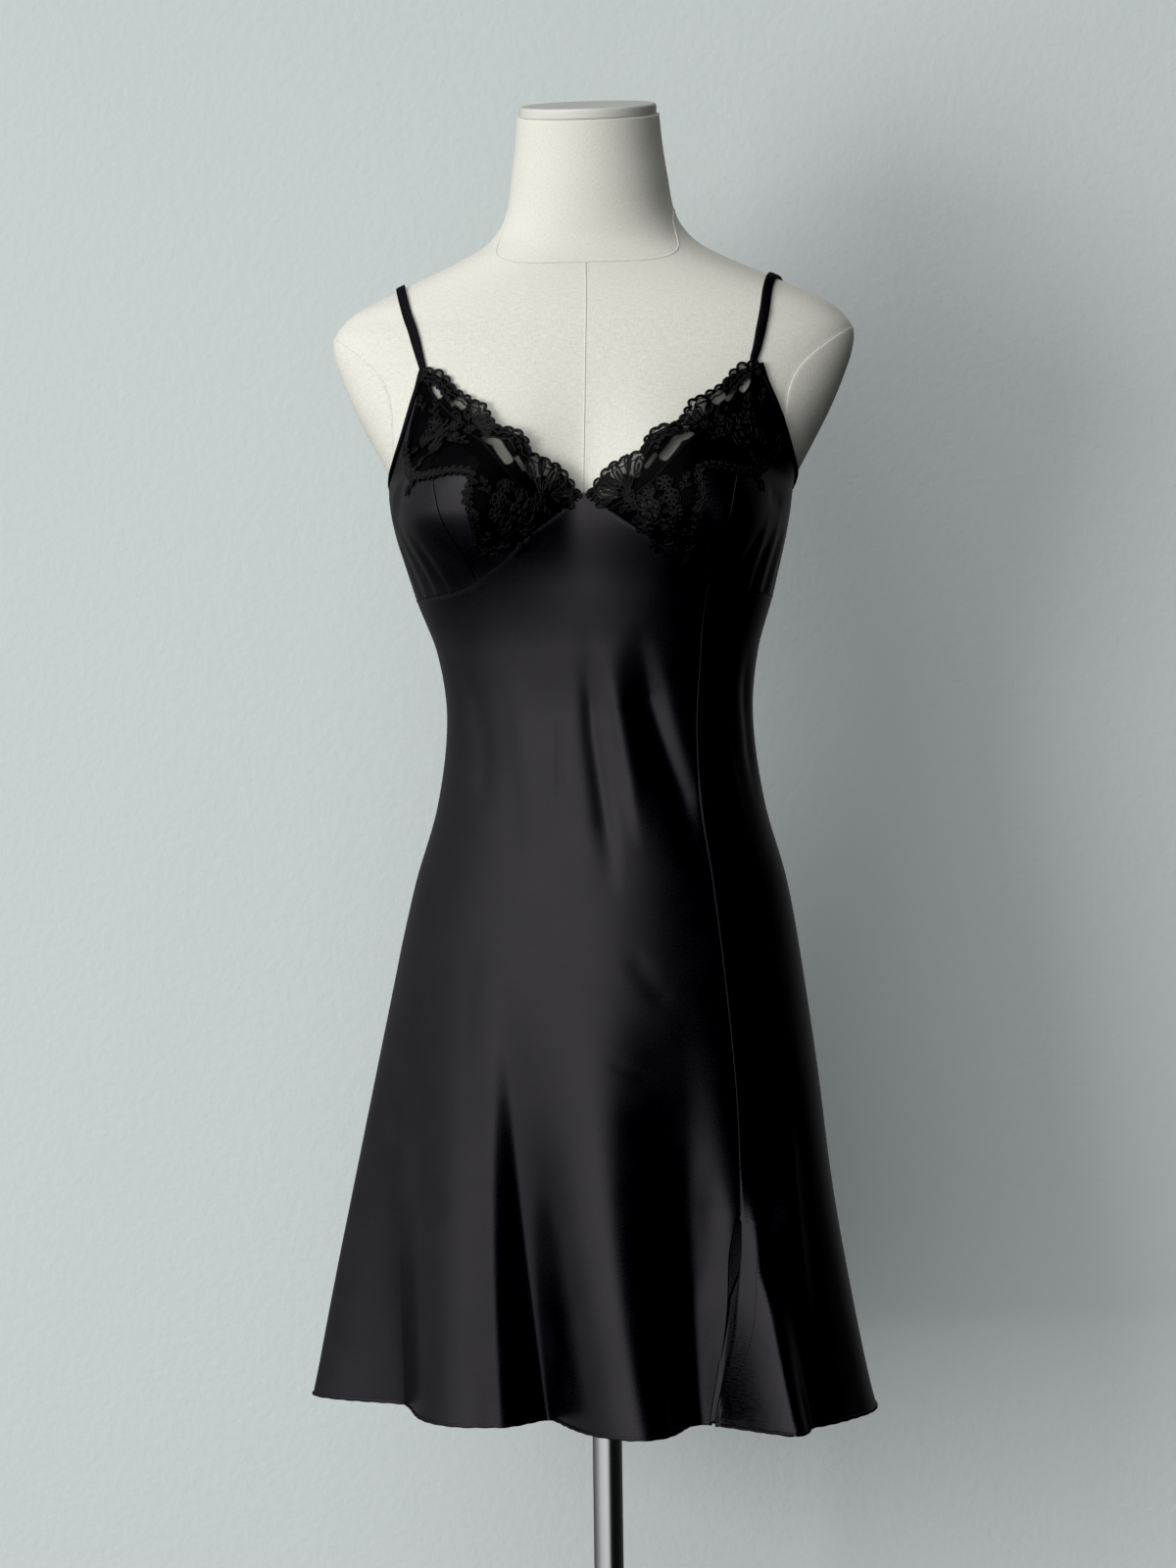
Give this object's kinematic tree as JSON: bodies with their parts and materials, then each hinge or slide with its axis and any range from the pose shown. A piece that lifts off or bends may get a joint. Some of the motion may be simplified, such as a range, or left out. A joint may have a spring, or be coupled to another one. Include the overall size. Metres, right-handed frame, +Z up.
{
  "type": "slip dress on a dress form",
  "caption": "Short satin slip dress with lace cups and a side slit, worn on a linen-covered torso form on a pole with a round floor plate.",
  "frame": {"origin": "on the floor, under the middle of the pole, at the underside of the floor plate", "axes": "+Z up; the dress faces -Y, so +X is the wearer's left"},
  "size_m": [0.4319, 0.37, 1.5458],
  "materials": {
    "satin": "black satin weave, soft gloss along the folds",
    "lace": "corded black floral lace on sheer net",
    "binding": "narrow black satin bias tape",
    "linen": "natural linen stretched over padding",
    "painted_cap": "satin white paint",
    "pole_chrome": "polished chrome plate",
    "base_steel": "brushed steel"
  },
  "bodies": {
    "root": {"front_panel": "satin", "side_panel": "satin", "back_panel": "satin", "cup_outer_left": "satin", "cup_outer_right": "satin", "cup_inner_left": "satin", "cup_inner_right": "satin", "lace_left": "lace", "lace_right": "lace", "strap_left": "binding", "strap_right": "binding", "armhole_binding_left": "binding", "armhole_binding_right": "binding", "slit_facing": "satin", "form_torso": "linen", "arm_cap_left": "linen", "arm_cap_right": "linen", "neck_cap": "painted_cap", "form_bottom_plate": "painted_cap", "pole_collar": "pole_chrome", "pole": "pole_chrome", "base_plate": "base_steel"}
  },
  "joints": []
}
